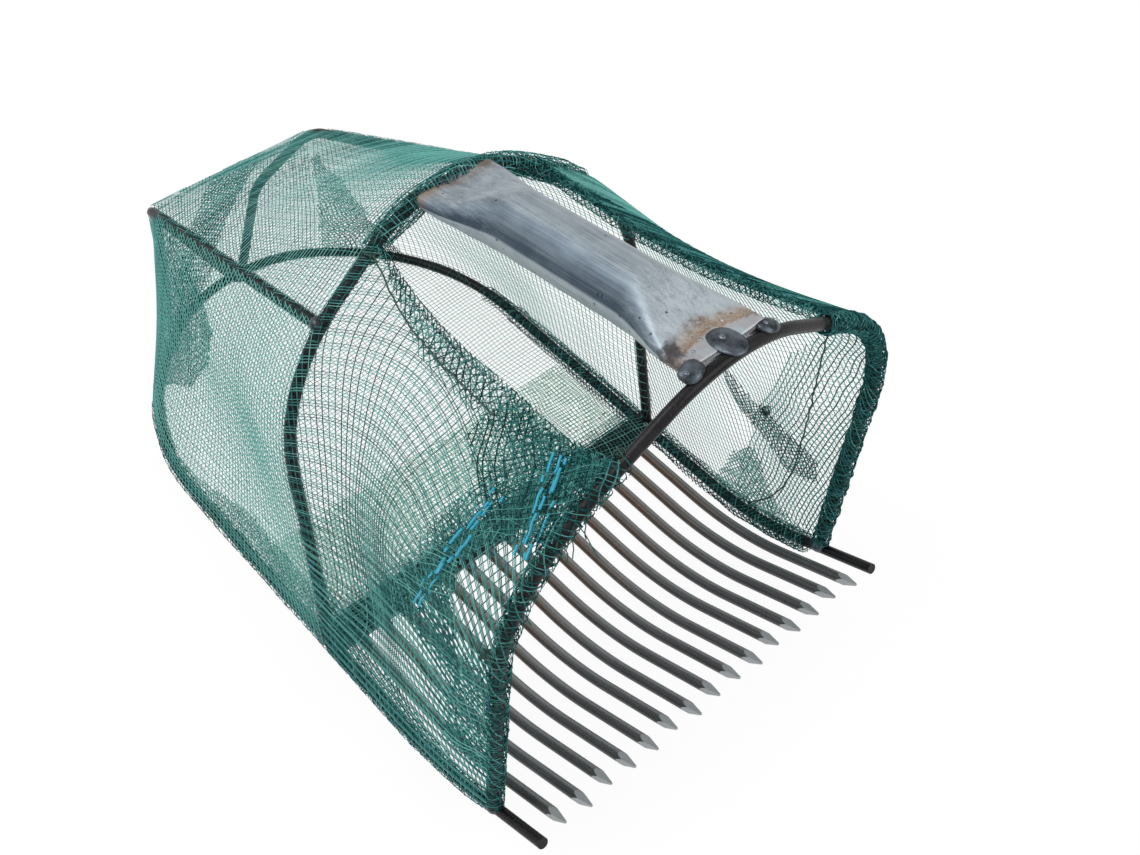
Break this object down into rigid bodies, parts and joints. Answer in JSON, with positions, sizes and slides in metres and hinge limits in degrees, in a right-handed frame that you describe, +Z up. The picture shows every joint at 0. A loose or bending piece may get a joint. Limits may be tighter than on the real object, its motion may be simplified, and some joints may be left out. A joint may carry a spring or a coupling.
{
  "type": "berry picking comb",
  "caption": "Hand-held berry picking comb: upturned nail tines on a welded rod frame, a flattened tube handle on top and a net catch bag behind the mouth.",
  "frame": {"origin": "on the floor, below the middle of the comb's length and width", "axes": "+X forward along the tines, +Y to the user's left, +Z up"},
  "size_m": [0.2995, 0.1668, 0.185],
  "materials": {
    "dark_rod": "dark, oxidised wire rod",
    "nail_steel": "drawn nail wire",
    "galvanised_tube": "worn galvanised tube",
    "weld_metal": "dark weld beads",
    "green_net": "knitted net",
    "net_hem": "rolled and sewn net"
  },
  "bodies": {
    "root": {"base_loop": "dark_rod", "front_arch": "dark_rod", "middle_arch": "dark_rod", "left_stay": "dark_rod", "right_stay": "dark_rod", "tine_bar": "dark_rod", "tine_01": "nail_steel", "tine_02": "nail_steel", "tine_03": "nail_steel", "tine_04": "nail_steel", "tine_05": "nail_steel", "tine_06": "nail_steel", "tine_07": "nail_steel", "tine_08": "nail_steel", "tine_09": "nail_steel", "tine_10": "nail_steel", "tine_11": "nail_steel", "tine_12": "nail_steel", "tine_13": "nail_steel", "tine_14": "nail_steel", "tine_15": "nail_steel", "handle_tube": "galvanised_tube", "front_arch_welds": "weld_metal", "bar_welds": "weld_metal", "stay_top_welds": "weld_metal", "stay_foot_weld": "weld_metal", "tine_welds": "weld_metal", "handle_front_welds": "weld_metal", "handle_rear_welds": "weld_metal", "net_left_front": "green_net", "net_right_front": "green_net", "net_left_rear": "green_net", "net_right_rear": "green_net", "net_top": "green_net", "net_back": "green_net", "net_bottom": "green_net", "left_hem": "net_hem", "right_hem": "net_hem", "left_binding": "net_hem", "right_binding": "net_hem"}
  },
  "joints": []
}
